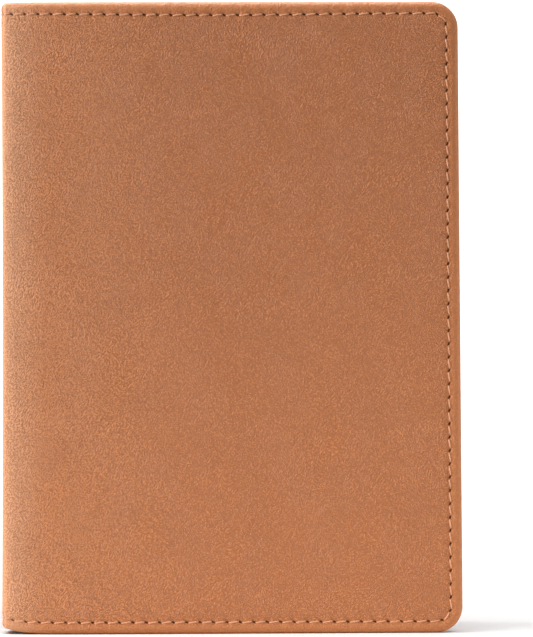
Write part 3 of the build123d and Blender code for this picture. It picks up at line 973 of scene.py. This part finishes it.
def stage_sweep():
    """One curved white sheet: floor, cove and backdrop."""
    section_points = [(SWEEP_FRONT, 0.0), (0.0, 0.0)]
    for angle in np.linspace(0, math.pi / 2, COVE_POINTS):
        y = SWEEP_BACK - COVE_RADIUS * (1 - math.sin(angle))
        section_points.append((y, COVE_RADIUS * (1 - math.cos(angle))))
    section_points.append((SWEEP_BACK, SWEEP_TOP))
    mesh = bpy.data.meshes.new("sweep")
    points = [(x, y, z) for y, z in section_points for x in (-SWEEP_SIDE, SWEEP_SIDE)]
    faces = [(2 * i, 2 * i + 1, 2 * i + 3, 2 * i + 2) for i in range(len(section_points) - 1)]
    mesh.from_pydata(points, [], faces)
    for polygon in mesh.polygons:
        polygon.use_smooth = True
    sweep = bpy.data.objects.new("sweep", mesh)
    bpy.context.scene.collection.objects.link(sweep)
    n = Nodes("white_paper")
    tooth = n.noise(n.add("ShaderNodeTexCoord").outputs["Object"], 40.0, 3.0)
    roughness = n.between(tooth, 0.3, 0.7, to_low=0.85, to_high=0.95)
    sweep.data.materials.append(n.finish(Base_Color=(0.9, 0.9, 0.9, 1.0), Roughness=roughness))
    return sweep


def place_lamp(light, position, target):
    """Puts a lamp in the scene, pointing at its target."""
    lamp = bpy.data.objects.new(light.name, light)
    bpy.context.scene.collection.objects.link(lamp)
    lamp.location = position
    lamp.rotation_euler = look_along(np.array(target) - np.array(position))
    return lamp


def area_light(name, position, target, size, power):
    """A square softbox."""
    light = bpy.data.lights.new(name, "AREA")
    light.shape = "SQUARE"
    light.size = size
    light.energy = power
    return place_lamp(light, position, target)


def spot_light(name, position, target, angle, power):
    """A round beam that fades from its middle outwards."""
    light = bpy.data.lights.new(name, "SPOT")
    light.spot_size = math.radians(angle)
    light.spot_blend = 1.0
    light.shadow_soft_size = 0.1
    light.energy = power
    return place_lamp(light, position, target)


def look_along(direction, roll=0.0):
    """The turn that points a lamp or camera along a direction, with its top upwards."""
    turned = Vector([float(x) for x in direction]).to_track_quat("-Z", "Y").to_matrix()
    return (turned @ Matrix.Rotation(roll, 3, "Z")).to_euler()


sweep = stage_sweep()

world = bpy.data.worlds.new("studio")
world.use_nodes = True
world.node_tree.nodes["Background"].inputs["Color"].default_value = (1.0, 1.0, 1.0, 1.0)
world.node_tree.nodes["Background"].inputs["Strength"].default_value = 0.15
bpy.context.scene.world = world


def from_direction(azimuth, elevation, distance):
    """The place this far from the cover's middle, at these angles to the left of the front and upwards."""
    azimuth = math.radians(azimuth)
    elevation = math.radians(elevation)
    across = distance * math.cos(elevation)
    z = HEIGHT / 2 + distance * math.sin(elevation)
    return (-across * math.sin(azimuth), -across * math.cos(azimuth), z)


# The cover's own lights. The key skims the front from the left, the fill lights the right edge and the
# rim the top edge. The bounce is a soft beam aimed below the cover, for what a bright table throws up
middle = (0.0, 0.0, HEIGHT / 2)
key = area_light("key", from_direction(79, 20, 1.5), middle, size=0.45, power=34.5)
fill = area_light("fill", from_direction(-80, 15, 1.5), middle, size=0.6, power=12.0)
rim = area_light("rim", (-0.15, 0.25, 0.7), middle, size=0.4, power=7.0)
bounce = spot_light("bounce", (0.0, -1.5, 0.05), (0.04, FRONT_FACE, -0.09), angle=15.4, power=64.0)
not_the_sweep = bpy.data.collections.new("not_the_sweep")
not_the_sweep.objects.link(sweep)
not_the_sweep.collection_objects[0].light_linking.link_state = "EXCLUDE"
for cover_light in (key, fill, rim, bounce):
    cover_light.light_linking.receiver_collection = not_the_sweep

# The floor's own light, which keeps the shadow that the top light throws faint
only_the_sweep = bpy.data.collections.new("only_the_sweep")
only_the_sweep.objects.link(sweep)
floor_light = area_light("floor", (0.35, -0.55, 0.9), (0.1, -0.12, 0.0), size=0.6, power=7.0)
floor_light.light_linking.receiver_collection = only_the_sweep

# The lights that both share: one from above, and two that whiten the backdrop
area_light("top", (-0.25, -0.1, 0.8), (0.0, 0.0, 0.0), size=0.5, power=5.5)
for x in (-0.9, 0.9):
    backdrop = area_light("backdrop", (x, 0.7, 1.5), (0.3 * x, 1.6, 0.4), size=0.8, power=9.0)
    backdrop.data.spread = math.radians(110)

# The camera: level but for a slight roll, a long lens, its centre a little right of the cover's middle
CAMERA_DISTANCE = 0.9
VIEW_X = 0.00878
VIEW_Z = 0.07713
PICTURE_HEIGHT = 637
PIXEL = 0.2446 * MM
ROLL = math.radians(-0.28)
camera_data = bpy.data.cameras.new("camera")
camera_data.sensor_fit = "VERTICAL"
camera_data.sensor_height = 24.0
camera_data.lens = camera_data.sensor_height * CAMERA_DISTANCE / (PICTURE_HEIGHT * PIXEL)
camera = bpy.data.objects.new("camera", camera_data)
bpy.context.scene.collection.objects.link(camera)
camera.location = (VIEW_X, FRONT_FACE - CAMERA_DISTANCE, VIEW_Z)
camera.rotation_euler = look_along((0, 1, 0), ROLL)
bpy.context.scene.camera = camera
bpy.context.scene.view_settings.view_transform = "Standard"
